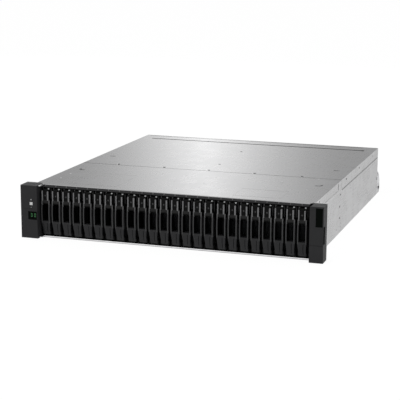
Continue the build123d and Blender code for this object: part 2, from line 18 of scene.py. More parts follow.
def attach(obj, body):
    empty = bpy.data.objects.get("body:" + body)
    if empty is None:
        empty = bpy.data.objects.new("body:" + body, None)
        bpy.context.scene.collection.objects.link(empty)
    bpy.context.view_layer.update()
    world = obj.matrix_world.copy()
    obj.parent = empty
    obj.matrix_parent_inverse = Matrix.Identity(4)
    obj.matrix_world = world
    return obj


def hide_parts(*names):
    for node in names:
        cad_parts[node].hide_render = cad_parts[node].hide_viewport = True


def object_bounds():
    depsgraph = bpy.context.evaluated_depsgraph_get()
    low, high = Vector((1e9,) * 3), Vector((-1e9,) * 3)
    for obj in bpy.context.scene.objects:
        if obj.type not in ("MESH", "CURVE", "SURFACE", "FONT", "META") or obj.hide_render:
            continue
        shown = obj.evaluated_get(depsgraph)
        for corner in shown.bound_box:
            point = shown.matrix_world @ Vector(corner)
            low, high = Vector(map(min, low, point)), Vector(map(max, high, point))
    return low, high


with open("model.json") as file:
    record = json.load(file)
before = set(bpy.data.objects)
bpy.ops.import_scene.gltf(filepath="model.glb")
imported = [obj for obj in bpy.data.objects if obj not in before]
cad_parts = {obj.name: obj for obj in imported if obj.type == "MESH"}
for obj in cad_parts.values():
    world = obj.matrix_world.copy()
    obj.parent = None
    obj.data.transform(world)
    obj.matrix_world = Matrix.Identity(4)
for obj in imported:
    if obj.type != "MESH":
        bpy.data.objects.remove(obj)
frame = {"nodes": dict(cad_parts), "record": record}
nodes = frame["nodes"]
scene = bpy.context.scene
cad_low, cad_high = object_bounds()
print("CAD box in mm", [round(value * 1000, 1) for value in (*cad_low, *cad_high)])

# %% [markdown]
# ## Working units
#
# Sheet metal and plastic parts are drawn in millimetres, and their depth is easiest to give as
# the distance behind the front face of the end caps. So every piece is modelled in those
# numbers, and one function at the end scales it to metres and moves it into place. That is
# simpler than scaling objects, because the finished objects keep an untouched transform.

# %% Units and sizes
MM = 0.001
FRONT = cad_low.y
PITCH = 17.7
BAYS = 24
GROUP = 8
GROUP_GAP = 1.8
ROW_SHIFT = 1.8
SIDE = 223.5
TOP = 84.8
REAR = 507.4


def bay_middle(number):
    """Middle of a drive bay across the width, counted from 0 at the left."""
    shift = number // GROUP - (BAYS // GROUP - 1) / 2
    return (number - (BAYS - 1) / 2) * PITCH + shift * GROUP_GAP + ROW_SHIFT


print("first and last bay", bay_middle(0), bay_middle(BAYS - 1))

# %% [markdown]
# ## The camera
#
# The photograph was taken from the front right, a little above the array, with a long lens.
# The position and the direction were found by matching known corners of the object to their
# places in the picture, so the camera is written down as plain numbers. Turning a camera by
# hand until the picture fits takes longer and is never quite right.

# %% Place the camera
camera_data = bpy.data.cameras.new("camera")
camera_data.sensor_fit = "HORIZONTAL"
camera_data.sensor_width = 36
camera_data.lens = 112.37
camera = bpy.data.objects.new("camera", camera_data)
scene.collection.objects.link(camera)
sight = Vector((-0.310977, 0.925912, -0.214429))
tilt = Quaternion((0, 0, 1), 0.0032)
camera.rotation_mode = "QUATERNION"
camera.rotation_quaternion = sight.to_track_quat("-Z", "Y") @ tilt
camera.location = (0.628657, FRONT - 1.712079, 0.477876)
scene.camera = camera
scene.view_settings.view_transform = "Standard"

# %% [markdown]
# ## Shader maths that reads like maths
#
# A material is a graph of nodes. Adding each node by hand takes four lines, so two small
# classes do it. `Wire` wraps the output of a node, and an expression such as `1 - wire * 2`
# adds the Math nodes for it. `Finish` is one material, and its `add` method makes any other
# node from its type, its settings and the values or links of its sockets.


# %% A wire between nodes
class Wire:
    """The output of a node, usable in Python arithmetic."""

    def __init__(self, finish, socket):
        self.finish = finish
        self.socket = socket

    def maths(self, operation, *values):
        return self.finish.add("Math", {"operation": operation}, dict(enumerate(values)))

    def __add__(self, other):
        return self.maths("ADD", self, other)

    def __mul__(self, other):
        return self.maths("MULTIPLY", self, other)

    def __sub__(self, other):
        return self.maths("SUBTRACT", self, other)

    def __rsub__(self, other):
        return self.maths("SUBTRACT", other, self)

    def __truediv__(self, other):
        return self.maths("DIVIDE", self, other)

    def __lt__(self, other):
        return self.maths("LESS_THAN", self, other)

    def __gt__(self, other):
        return self.maths("GREATER_THAN", self, other)

    __radd__ = __add__
    __rmul__ = __mul__

    def size(self):
        """The value without its sign."""
        return self.maths("ABSOLUTE", self)

    def fraction(self):
        """What is left after the whole number is taken off."""
        return self.maths("FRACT", self)

    def most(self, other):
        """The larger of two values."""
        return self.maths("MAXIMUM", self, other)

    def between(self, low, high):
        """1 inside two limits and 0 outside."""
        return (self > low) * (self < high)

    def ramp(self, low, high, start=0.0, end=1.0):
        """Runs from start to end while the value runs from low to high, and stops there."""
        values = {"Value": self, "From Min": low, "From Max": high, "To Min": start, "To Max": end}
        return self.finish.add("MapRange", {"clamp": True}, values)


# %% A material and its one way of making nodes
class Finish:
    """A material with a Principled shader, built from Python expressions."""

    def __init__(self, name, **fixed):
        self.material = bpy.data.materials.new(name)
        self.material.use_nodes = True
        self.tree = self.material.node_tree
        self.shader = self.tree.nodes["Principled BSDF"]
        self.output = self.tree.nodes["Material Output"]
        self.place = self.add("TexCoord", {}, {}, output="Object")
        for socket, value in fixed.items():
            self.set(socket, value)

    def add(self, kind, settings, values, output=0):
        """Makes a node. Settings come first, then the values or links of its sockets."""
        node = self.tree.nodes.new("ShaderNode" + kind)
        for setting, value in settings.items():
            setattr(node, setting, value)
        for key, value in values.items():
            self.feed(node.inputs[key], value)
        return Wire(self, node.outputs[output])

    def feed(self, socket, value):
        """Links a wire to a socket, or writes a plain value there."""
        if isinstance(value, Wire):
            self.tree.links.new(value.socket, socket)
        elif socket.type == "RGBA":
            socket.default_value = (*value[:3], 1)
        else:
            socket.default_value = value

    def set(self, socket, value):
        """Feeds a socket of the shader. An underscore stands for a space."""
        self.feed(self.shader.inputs[socket.replace("_", " ")], value)

    def axes(self):
        """X, depth behind the caps and Z of the point that is shaded, in millimetres."""
        parts = [self.add("SeparateXYZ", {}, {"Vector": self.place}, output=k) for k in range(3)]
        return parts[0] / MM, (parts[1] - FRONT) / MM, parts[2] / MM

    def noise(self, scale, detail=2.0, stretch=(1, 1, 1)):
        """Soft noise between 0 and 1. Scale is in patches per metre."""
        spot = self.add("Mapping", {}, {"Vector": self.place, "Scale": stretch})
        return self.add("TexNoise", {}, {"Vector": spot, "Scale": scale, "Detail": detail})

    def mix(self, amount, low, high):
        """A colour between two colours."""
        return self.add("Mix", {"data_type": "RGBA"}, {0: amount, 6: low, 7: high}, output=2)

    def bump(self, height, strength, distance):
        """A surface relief from a height between 0 and 1. Distance is in metres."""
        values = {"Height": height, "Strength": strength, "Distance": distance}
        self.set("Normal", self.add("Bump", {}, values))


# %% [markdown]
# ## Floor, backdrop and light
#
# The picture has a plain white ground, so the floor and the world look white to the camera and
# in reflections, while the light on the object stays at a plain level. Light Path tells a node
# what kind of ray asks. The floor keeps a share of real shading, which holds the shadow.

# %% World
world = bpy.data.worlds.new("studio")
scene.world = world
world.use_nodes = True


AMBIENT = 0.5


def make_world(ambient):
    """White for the camera and in reflections, soft grey light for everything else."""
    nodes_of_world = world.node_tree.nodes
    links = world.node_tree.links
    paths = nodes_of_world.new("ShaderNodeLightPath")
    background = nodes_of_world["Background"]
    background.inputs["Color"].default_value = (1, 1, 1, 1)
    seen = paths.outputs["Is Camera Ray"]
    for other in ("Is Glossy Ray", "Is Transmission Ray"):
        either = nodes_of_world.new("ShaderNodeMath")
        either.operation = "MAXIMUM"
        links.new(seen, either.inputs[0])
        links.new(paths.outputs[other], either.inputs[1])
        seen = either.outputs[0]
    level = nodes_of_world.new("ShaderNodeMapRange")
    level.inputs["To Min"].default_value = ambient
    links.new(seen, level.inputs["Value"])
    links.new(level.outputs[0], background.inputs["Strength"])


make_world(AMBIENT)
print("light from the world", AMBIENT)

# %% Floor
FLOOR_HALF, FLOOR_DROP = 8, 0.0005
GLOW, GLOW_SHARE = 1.06, 0.88


def make_floor():
    """A wide floor that looks white and still takes the shadow of the object."""
    bm = bmesh.new()
    bmesh.ops.create_grid(bm, x_segments=1, y_segments=1, size=FLOOR_HALF)
    bmesh.ops.translate(bm, verts=bm.verts, vec=(0, 0, -FLOOR_DROP))
    mesh = bpy.data.meshes.new("floor")
    bm.to_mesh(mesh)
    bm.free()
    floor = bpy.data.objects.new("floor", mesh)
    scene.collection.objects.link(floor)
    ground = Finish("studio_floor", Base_Color=(0.9, 0.9, 0.9), Roughness=0.8)
    glow = ground.add("Emission", {}, {"Color": (1, 1, 1), "Strength": GLOW})
    seen = ground.add("LightPath", {}, {}, output="Is Camera Ray")
    for other in ("Is Glossy Ray", "Is Transmission Ray"):
        seen = seen.most(ground.add("LightPath", {}, {}, output=other))
    shaded = Wire(ground, ground.shader.outputs[0])
    shown = ground.add("MixShader", {}, {0: seen * GLOW_SHARE, 1: shaded, 2: glow})
    ground.feed(ground.output.inputs["Surface"], shown)
    mesh.materials.append(ground.material)


make_floor()
print("floor is", 2 * FLOOR_HALF, "metres wide")

# %% [markdown]
# A softbox is an area lamp. The key lights the front from the upper left and a weaker one fills
# the right side. A row of upright strips behind the array lies in the mirror direction of the
# top sheet. The middle strip is the brightest and the others fade out to the sides, so the
# sheet shows one soft bright band. A single large lamp would give the band hard edges.

# %% Lamps


def softbox(name, place, target, width, height, power):
    """A rectangular studio lamp that looks at a point."""
    lamp = bpy.data.lights.new(name, "AREA")
    lamp.shape = "RECTANGLE"
    lamp.size = width
    lamp.size_y = height
    lamp.energy = power
    holder = bpy.data.objects.new(name, lamp)
    holder.location = place
    holder.rotation_mode = "QUATERNION"
    holder.rotation_quaternion = (Vector(target) - Vector(place)).to_track_quat("-Z", "Y")
    scene.collection.objects.link(holder)


softbox("key", (-1.0, -2.4, 2.6), (0, 0, 0), 1.6, 1.6, 34)
softbox("right_fill", (2.8, -0.6, 1.2), (0, 0, 0), 1.4, 1.4, 12)

# %% Strips behind the array
STRIP_WIDTH, STRIP_HEIGHT, STRIPS_TO_SIDE = 0.1, 0.9, 6
STRIP_MIDDLE, STRIP_BACK, STRIP_UP, AIM_UP = -0.765, 2.2, 0.6, 0.08
PEAK_GLARE, GLARE_LOSS, LEAST_GLARE, FADE_POWER = 9.4, 0.5, 0.05, 2.2
for number in range(-STRIPS_TO_SIDE, STRIPS_TO_SIDE + 1):
    fade = (1 - abs(number) / (STRIPS_TO_SIDE + 1)) ** FADE_POWER
    glare = max(LEAST_GLARE, PEAK_GLARE * fade - GLARE_LOSS)
    across = STRIP_MIDDLE + number * STRIP_WIDTH
    power = glare * STRIP_WIDTH * STRIP_HEIGHT
    name = f"back_strip_{number + STRIPS_TO_SIDE}"
    place, target = (across, STRIP_BACK, STRIP_UP), (across, 0, AIM_UP)
    softbox(name, place, target, STRIP_WIDTH, STRIP_HEIGHT, power)
print("lamps", len(bpy.data.lights))

# %% [markdown]
# ## Shared mesh tools
#
# Most parts of an enclosure are blocks with softened edges, short round studs, and screws.
# bmesh has operators for the start shapes, and a bevel turns a hard block into something that
# catches light along its edges, as moulded and folded parts do.

# %% Blocks and studs


def slab(bm, width, depth, height, finish=0, rounding=0.0, segments=2):
    """A block between two places in X, depth and Z, with softened edges if asked."""
    spans = (width, depth, height)
    size = [high - low for low, high in spans]
    middle = Vector([(high + low) / 2 for low, high in spans])
    place = Matrix.Translation(middle) @ Matrix.Diagonal((*size, 1))
    verts = bmesh.ops.create_cube(bm, size=1, matrix=place)["verts"]
    for face in {face for vert in verts for face in vert.link_faces}:
        face.material_index = finish
    if rounding:
        soften(bm, {edge for vert in verts for edge in vert.link_edges}, rounding, segments)


def soften(bm, edges, radius, segments=2):
    """Rounds the given edges."""
    bmesh.ops.bevel(
        bm,
        geom=list(edges),
        offset=radius,
        offset_type="OFFSET",
        affect="EDGES",
        segments=segments,
        profile=0.5,
        material=-1,
        clamp_overlap=True,
    )


def stud(bm, spot, axis, radius, height, tip=None, sides=14, finish=0):
    """A round stud that stands on a point and tapers to the radius of its tip."""
    axis = Vector(axis)
    turn = axis.to_track_quat("Z", "Y").to_matrix().to_4x4()
    place = Matrix.Translation(Vector(spot) + axis * height / 2) @ turn
    tip = radius if tip is None else tip
    made = bmesh.ops.create_cone(
        bm, cap_ends=True, segments=sides, radius1=radius, radius2=tip, depth=height, matrix=place
    )
    for face in {face for vert in made["verts"] for face in vert.link_faces}:
        face.material_index = finish


def screw(bm, spot, axis, radius, height=0.8, finish=0, socket=1):
    """A low screw head with a dark six-sided socket, whose dark is painted shade."""
    stud(bm, spot, axis, radius, height, radius * 0.78, finish=finish)
    stud(bm, spot, axis, radius * 0.42, height + 0.05, sides=6, finish=socket)


# %% [markdown]
# Every added piece goes through one function. It marks the sharp edges, scales the mesh from
# millimetres to metres, gives it its materials and lets it ride on a body of the CAD model, so
# that it moves with that body when a joint moves.

# %% From a bmesh to a piece


def piece(name, bm, body, slot, *finishes, crease=32):
    """Turns a bmesh in millimetres into an object in its place, riding on a body."""
    for face in bm.faces:
        face.smooth = True
    for edge in bm.edges:
        edge.smooth = edge.is_manifold and edge.calc_face_angle() < math.radians(crease)
    bmesh.ops.scale(bm, verts=bm.verts, vec=(MM, MM, MM))
    bmesh.ops.translate(bm, verts=bm.verts, vec=(0, FRONT, 0))
    mesh = bpy.data.meshes.new(name)
    bm.to_mesh(mesh)
    bm.free()
    for finish in finishes:
        mesh.materials.append(finish.material)
    made = bpy.data.objects.new(name, mesh)
    scene.collection.objects.link(made)
    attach(made, body)
    return made


def tell(made):
    """Prints the name of a piece and how many faces it has."""
    print(made.name, len(made.data.polygons), "faces")


# %% [markdown]
# ## Finishes of the metal
#
# The covers and the pan are hot-dip galvanised sheet: a satin grey metal with faint cloudy
# patches, because the zinc freezes in large crystals, and fine streaks along the rolling
# direction. Two layers of noise at different scales give both. A photograph of the sheet would
# do too, but noise has no seams and no fixed size.

# %% Galvanised sheet


def galvanised(name, tone, smooth=0.24, edge_tint=0.5):
    """Zinc-coated sheet with cloudy patches and fine rolling streaks."""
    sheet = Finish(name, Metallic=1.0, Specular_Tint=(edge_tint, edge_tint, edge_tint))
    clouds = sheet.noise(38, 3.0)
    streaks = sheet.noise(60, 2.0, stretch=(6, 0.4, 6))
    grain = sheet.noise(900, 1.0)
    shade = clouds * 0.5 + streaks * 0.3 + grain * 0.2
    dark = tuple(channel * 0.9 for channel in tone)
    light = tuple(min(channel * 1.08, 1.0) for channel in tone)
    sheet.set("Base_Color", sheet.mix(shade.ramp(0.3, 0.7), dark, light))
    sheet.set("Roughness", shade.ramp(0.25, 0.75, smooth, smooth + 0.08))
    sheet.bump(clouds * 0.6 + grain * 0.4, 0.012, 0.0003)
    return sheet


zinc = galvanised("galvanised_sheet", (0.8, 0.8, 0.805))


def paint_seam_shadow():
    """Paints shade as a dark line into the narrow step under the cover flanges."""
    across, along, up = zinc.axes()
    # The seam mask paints a dark line of shadow under the flanges.
    seam = (across.size() > SIDE - 2.6) * up.between(67.2, 69.0) * (along > 206)
    plain = Wire(zinc, zinc.shader.inputs["Base Color"].links[0].from_socket)
    zinc.set("Base_Color", zinc.mix(seam * 0.75, plain, (0.08, 0.08, 0.08)))


paint_seam_shadow()

# %% [markdown]
# The covers are of the same sheet. Their top is seen at a low angle, where metal reflects much
# more than its colour says, and with the plain sheet it came out almost white. So a mask that is
# 1 on the top and on its front edge blends in a darker tone, painted shade on the top and on the
# front edge, chosen by comparing the render with the photograph. The edge of the front lip has a
# darker sheet of its own, a painted contact shadow, chosen in that way too.

# %% Cover sheet
cover = galvanised("galvanised_cover", (0.8, 0.8, 0.805))
COVER_FRONT = 15.5


def paint_cover_top_shade():
    """Blends a darker grey as painted shade into the top of the cover and its front edge."""
    across, along, up = cover.axes()
    # The mask paints shade on the top of the cover and on its front edge.
    top_and_edge_shade = (up > TOP - 0.3).most(along < COVER_FRONT + 1.5)
    plain = Wire(cover, cover.shader.inputs["Base Color"].links[0].from_socket)
    cover.set("Base_Color", cover.mix(top_and_edge_shade * 0.7, plain, (0.22, 0.22, 0.223)))


paint_cover_top_shade()
# The lip sheet is a painted contact shadow for the lower edge of the front lip.
lip_shadow_sheet = galvanised("lip_shadow_sheet", (0.44, 0.44, 0.445), 0.4)

# %% [markdown]
# ## Black sheet, plastics and the rest
#
# Moulded plastic has a spark-eroded texture: tiny bumps that break up the highlight. The caps
# are a little coarser than the handles. Powder-coated steel has soft orange peel instead.

# %% Dark finishes


def textured(name, tone, roughness, grain, depth, shine=0.25):
    """Dark material with a fine even relief and slight changes of tone."""
    skin = Finish(name, Specular_IOR_Level=shine)
    speckle = skin.noise(grain, 1.0)
    clouds = skin.noise(45, 2.0)
    dark = tuple(channel * 0.8 for channel in tone)
    light = tuple(channel * 1.25 for channel in tone)
    skin.set("Base_Color", skin.mix(clouds * 0.5 + speckle * 0.5, dark, light))
    skin.set("Roughness", clouds.ramp(0.3, 0.7, roughness - 0.05, roughness + 0.06))
    skin.bump(speckle, 0.35, depth)
    return skin


cap_plastic = textured("cap_plastic", (0.014, 0.014, 0.015), 0.62, 2600, 0.00008)
handle_plastic = textured("handle_plastic", (0.012, 0.012, 0.013), 0.46, 3200, 0.00005)
# The bridge, bar, edge and rib plastics are the handle plastic in other tones: the lighter ones
# are painted highlights, the darker bridge plastic is painted shade.
bridge_shade_plastic = textured("bridge_shade_plastic", (0.009, 0.009, 0.009), 0.46, 3200, 0.00005, 0.15)
bar_highlight_plastic = textured("bar_highlight_plastic", (0.040, 0.040, 0.041), 0.42, 3200, 0.00005)
edge_highlight_plastic = textured("edge_highlight_plastic", (0.085, 0.085, 0.086), 0.42, 3200, 0.00005)
rib_highlight_plastic = textured("rib_highlight_plastic", (0.17, 0.17, 0.173), 0.4, 3200, 0.00005)
button_plastic = textured("button_plastic", (0.004, 0.004, 0.004), 0.42, 3200, 0.00004, 0.05)
black_steel = textured("black_steel", (0.022, 0.022, 0.023), 0.55, 700, 0.0001)
# A flat near-black: painted shade in holes, sockets, slots, gaps and grooves, and the own dark of
# the fine joint lines.
shade_and_joint_black = Finish("shade_and_joint_black", Base_Color=(0.003, 0.003, 0.003), Roughness=0.8)
shade_and_joint_black.set("Specular_IOR_Level", 0.0)
# Black of the ports; on the lever foot the same black is painted shade of a notch.
port_and_notch_black = textured("port_and_notch_black", (0.02, 0.02, 0.021), 0.5, 2400, 0.00005)
smoked_window = Finish("smoked_window", Base_Color=(0.0006, 0.0016, 0.0008), Roughness=0.12)
smoked_window.set("Specular_IOR_Level", 0.03)
# The light pipes are real parts; their light grey is a painted highlight.
lens_highlight = Finish("lens_highlight", Base_Color=(0.42, 0.43, 0.43), Roughness=0.25)
# The white marks are print on the cap; on the rivet domes the same white is a painted highlight.
print_and_glint_white = Finish("print_and_glint_white", Base_Color=(0.62, 0.62, 0.62), Roughness=0.5)
mark_grey = Finish("mark_grey", Base_Color=(0.28, 0.28, 0.28), Roughness=0.5)
steel_bright = Finish("steel_bright", Base_Color=(0.6, 0.6, 0.6), Metallic=1.0, Roughness=0.25)
steel_dull = Finish("steel_dull", Base_Color=(0.14, 0.14, 0.14), Metallic=1.0, Roughness=0.4)
lit_green = Finish("lit_green", Base_Color=(0.02, 0.1, 0.03), Roughness=0.4)
lit_green.set("Emission_Color", (0.08, 0.42, 0.13))
lit_green.set("Emission_Strength", 0.26)
print("materials so far", len(bpy.data.materials))

# %% [markdown]
# The boards are flat solids in the CAD model. Tracks and pads are far too small to model, so two
# sets of stripes at different steps stand for them, and gold shows where the pads are.

# %% Circuit board


def make_board():
    """Green solder mask with copper tracks under it and gold pads in rows."""
    board = Finish("circuit_board", Roughness=0.4)
    across, along, up = board.axes()
    tracks = ((across * 0.31 + up * 0.07).fraction() - 0.5).size() < 0.16
    crossing = ((up * 0.23).fraction() - 0.5).size() < 0.12
    green = board.mix(tracks.most(crossing) * 0.5, (0.012, 0.075, 0.03), (0.03, 0.17, 0.07))
    pads = ((across * 0.4).fraction() < 0.35) * ((up * 0.12).fraction() < 0.12)
    board.set("Base_Color", board.mix(pads, green, (0.55, 0.42, 0.15)))
    board.set("Metallic", pads)
    board.bump(tracks, 0.2, 0.0001)
    return board


circuit_board = make_board()

# %% [markdown]
# The CAD carrier is one mesh for the frame, the drive inside and the two light pipes. Its
# material tells them apart by place: the light pipes stand in front of the bulkhead near the
# top, and the drive fills the rear between the rails.

# %% Drive carrier


def make_carrier():
    """Black front, satin rails, dark drive body and dark light pipes in one material."""
    body = Finish("carrier_body")
    across, along, up = body.axes()
    pipe = (along < 19.9) * (up > 73)
    front = along < 23
    drive = (along > 75.4) * up.between(5.8, 75.4)
    grain = body.noise(700, 1.0)
    metal = body.mix(grain, (0.075, 0.075, 0.078), (0.11, 0.11, 0.115))
    tone = body.mix(drive, metal, (0.035, 0.036, 0.038))
    tone = body.mix(front, tone, (0.003, 0.003, 0.003))
    body.set("Base_Color", body.mix(pipe, tone, (0.02, 0.02, 0.02)))
    body.set("Specular_IOR_Level", 0.1)
    body.set("Metallic", (1 - front) * 0.9)
    body.set("Roughness", front * 0.3 + 0.38)
    body.bump(grain, 0.15, 0.0001)
    return body


carrier_body = make_carrier()

# %% [markdown]
# ## Canister steel
#
# The rear faces of the canisters are plated steel with fields of round vent holes. A hole
# pattern with hundreds of real holes costs many faces and shows little, so the material draws
# it: rows of dark dots, every second row shifted by half a step, whose dark is painted shade of
# the holes. Only the flat rear faces get it, and only outside the ports.

# %% Canister steel with vent fields
VENT_FIELDS = (
    ((-18, 62), (27, 37)),
    ((-18, 62), (68, 78)),
    ((-108, -24), (31, 38)),
    ((-108, -24), (72, 79)),
    ((129, 207), (50, 78)),
    ((-207, -129), (50, 78)),
)


def make_canister():
    """Plated steel whose rear faces carry fields of round holes, drawn as dots of painted shade.
    """
    steel = galvanised("canister_steel", (0.46, 0.46, 0.47))
    across, along, up = steel.axes()
    step, row_step, radius = 3.6, 3.1, 1.15
    row = up / row_step
    shift = (row * 0.5).fraction().between(0.5, 1.0) * 0.5
    to_side = ((across / step + shift).fraction() - 0.5) * step
    to_row = (row.fraction() - 0.5) * row_step
    holes = to_side * to_side + to_row * to_row < radius * radius
    field = across.between(0, 0)
    for width, height in VENT_FIELDS:
        field = field.most(across.between(*width) * up.between(*height))
    holes = holes * field * (along > REAR - 0.4)
    plain = Wire(steel, steel.shader.inputs["Base Color"].links[0].from_socket)
    # The holes mask paints shade where the vent holes are.
    steel.set("Base_Color", steel.mix(holes, plain, (0.004, 0.004, 0.004)))
    steel.set("Metallic", 1 - holes)
    return steel


canister_steel = make_canister()
lever_metal = galvanised("lever_metal", (0.74, 0.74, 0.75), 0.3)

# %% [markdown]
# ## Finishes for the CAD pieces
#
# Each CAD piece names the kind of surface that it has. A table from those names to the finishes
# above dresses all of them, and leaves their meshes as they are.

# %% Give the CAD pieces their finishes
CAD_FINISH = {
    "galvanised_steel": zinc,
    "galvanised_cover": cover,
    "black_steel": black_steel,
    "circuit_board": circuit_board,
    "cap_plastic": cap_plastic,
    "canister_steel": canister_steel,
    "lever_metal": lever_metal,
    "carrier_body": carrier_body,
    "handle_plastic": handle_plastic,
}
for part in frame["record"]["subparts"]:
    finish = CAD_FINISH[part["material_slot"]]
    for place in nodes[part["node"]].material_slots:
        place.material = finish.material

# %% [markdown]
# ## Drive handles
#
# The handle is the part that the eye goes to: a narrow bowed lever with a window for the air,
# a crossbar, and a latch block with two ribs and a dark button between them. It tapers to a
# thin foot with the hinge. It could be sculpted, but all its lines are straight seen from the
# front, so it starts as a block that is cut into bands with bisect_plane. Each band then gets
# its own width and front, and the window is bridged through from front to back.

# %% Shape of a handle
FOOT_Z, BOW_Z, SHOULDER_Z, CAP_Z, HEAD_Z = 4.8, 32.6, 60.4, 76.0, 77.6
FOOT_FRONT, BOW_FRONT, LATCH_FRONT, CAP_FRONT, BACK_Y = 14.4, 8.9, 10.9, 13.5, 19.7
FOOT_HALF, TAPER, HALF_WIDTH, LATCH_HALF = 5.8, 1.2, 7.0, 5.5
ROUND_Z, ROUND_RADIUS = 7.9, 3.1
WINDOW_X, WINDOW_Z, BRIDGE_Z = 5.2, (27.0, 54.3), 56.0
LOW_BANDS = (5.6, ROUND_Z, 10.5, 13.0, 18.5, 24.0, 27.0, 31.0, 36.0)
HIGH_BANDS = (41.0, 46.0, 50.0, 54.3, BRIDGE_Z, SHOULDER_Z, 62.0, CAP_Z)
RIBS = (((-6.1, -4.2), (59.4, 75.4)), ((2.8, 5.2), (59.8, 74.4)))
GROOVE_X = (1.5, 2.5)
RIB, BLACK_AND_SHADE, BAR, EDGE, LENS, BRIDGE = range(1, 7)


def handle_half_width(z):
    """Half the width at a height: thin foot, full width by the window, narrower latch."""
    if z < 24.0:
        return FOOT_HALF + TAPER * max(0.0, (z - 13.0) / 11.0)
    return HALF_WIDTH if z < SHOULDER_Z + 0.1 else LATCH_HALF


def handle_front(z):
    """Depth of the front face at a height, a shallow bow with a set-back latch panel."""
    if z > CAP_Z:
        return CAP_FRONT
    if z > SHOULDER_Z + 0.1:
        return LATCH_FRONT
    low, middle, high = FOOT_Z, BOW_Z, SHOULDER_Z
    return (
        FOOT_FRONT * (z - middle) * (z - high) / ((low - middle) * (low - high))
        + BOW_FRONT * (z - low) * (z - high) / ((middle - low) * (middle - high))
        + LATCH_FRONT * (z - low) * (z - middle) / ((high - low) * (high - middle))
    )


def handle_back(z):
    """Depth of the back face, rounded off under the hinge."""
    drop = max(0.0, ROUND_Z - z)
    return BACK_Y - ROUND_RADIUS + math.sqrt(max(0.0, ROUND_RADIUS**2 - drop**2))


print("half width at foot and window", handle_half_width(FOOT_Z), handle_half_width(BOW_Z))

# %% [markdown]
# The block is one unit wide and deep while it is cut, and only then each vertex is moved out to
# the width and depth of its height. The groove of the lower panel is an inset that goes in, and
# its black is painted shade.
# Each face also gets the number of its plastic: lighter copies of the handle plastic are painted
# highlights on the edges and ribs, and a darker copy is painted shade on the crossbar.

# %% Make a handle


def cut_through(bm, faces):
    """Removes faces on the front and the back and joins the two rims with walls."""
    bmesh.ops.delete(bm, geom=faces, context="FACES")
    rims = [edge for edge in bm.edges if edge.is_boundary]
    bmesh.ops.bridge_loops(bm, edges=rims)


def handle_shell(bm):
    """The moulded lever, without ribs and button."""
    slab(bm, (-1, 1), (0, 1), (FOOT_Z, HEAD_Z))
    for height in (*LOW_BANDS, *HIGH_BANDS):
        geom = bm.verts[:] + bm.edges[:] + bm.faces[:]
        bmesh.ops.bisect_plane(bm, geom=geom, plane_co=(0, 0, height), plane_no=(0, 0, 1))
    for across in (-WINDOW_X, *GROOVE_X, WINDOW_X):
        geom = bm.verts[:] + bm.edges[:] + bm.faces[:]
        spot = (across / HALF_WIDTH, 0, 0)
        bmesh.ops.bisect_plane(bm, geom=geom, plane_co=spot, plane_no=(1, 0, 0))
    for vert in bm.verts:
        height = vert.co.z
        vert.co.x *= handle_half_width(height)
        vert.co.y = handle_front(height) if vert.co.y < 0.5 else handle_back(height)
    low, high = WINDOW_Z
    window, groove = [], []
    for face in bm.faces:
        middle = face.calc_center_median()
        if abs(middle.x) > WINDOW_X or abs(face.normal.y) < 0.5:
            continue
        if low < middle.z < high:
            window.append(face)
        elif ROUND_Z < middle.z < low - 2 and face.normal.y < 0:
            if GROOVE_X[0] < middle.x / handle_half_width(middle.z) * HALF_WIDTH < GROOVE_X[1]:
                groove.append(face)
    bmesh.ops.inset_region(bm, faces=groove, thickness=0.05, depth=-0.5)
    # The black of the groove is painted shade.
    for face in groove:
        face.material_index = BLACK_AND_SHADE
    cut_through(bm, window)
    for face in bm.faces:
        middle = face.calc_center_median()
        beside = abs(middle.x) > WINDOW_X and middle.z < SHOULDER_Z
        inside = abs(middle.x) < WINDOW_X + 0.1 and low < middle.z < high
        if beside and middle.z > low - 4:
            face.material_index = BAR
        # The black on the walls inside the window is painted shade; above the window it is the
        # black of the latch.
        if middle.z > high + 0.1 or inside:
            face.material_index = BLACK_AND_SHADE
        if BRIDGE_Z < middle.z < SHOULDER_Z:
            face.material_index = BRIDGE
    sharp = [edge for edge in bm.edges if edge.is_manifold and edge.calc_face_angle() > 0.5]
    soften(bm, sharp, 0.45)


def make_handle(number):
    """One handle in its bay, with its ribs, its release button and its light pipe tab, whose light
    grey is a painted highlight.
    """
    bm = bmesh.new()
    handle_shell(bm)
    # Ribs and edge slabs are in lighter plastics, which are painted highlights.
    for across, up in RIBS:
        slab(bm, across, (9.3, 11.4), up, RIB, 0.6)
    slab(bm, (-3.4, 2.3), (10.2, 12.0), (62.4, 75.2), BLACK_AND_SHADE, 0.5)
    stud(bm, (-0.3, 10.25, 67.4), (0, -1, 0), 1.3, 0.12, 1.1, 12, BAR)
    for across in ((-6.9, -5.0), (5.0, 6.9)):
        slab(bm, across, (9.7, 12.0), (52.0, SHOULDER_Z), EDGE, 0.5)
    slab(bm, (2.9, 5.3), (12.9, 15.0), (75.7, 78.7), LENS, 0.4)
    bmesh.ops.translate(bm, verts=bm.verts, vec=(bay_middle(number), 0, 0))
    name = f"{number + 1:02d}"
    made = piece(
        "handle_" + name,
        bm,
        "handle_" + name,
        "handle_plastic",
        handle_plastic,
        rib_highlight_plastic,
        button_plastic,
        bar_highlight_plastic,
        edge_highlight_plastic,
        lens_highlight,
        bridge_shade_plastic,
    )
    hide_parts("drive_handle_" + name)
    return len(made.data.polygons)


print("faces per handle", [make_handle(number) for number in range(BAYS)][0])

# %% [markdown]
# ## What shows behind the handles
#
# Through each window one sees the black bulkhead of the carrier with its slots. A dull strip
# stands on each side of the latch; the one at the left is the left light pipe, and its grey is a
# dimmer painted highlight, as that pipe lies in shade. A plain plate and screws finish the drive
# for when it is pulled out. The photograph doesn't show those, so they follow what such drives
# have.

# %% Carrier details


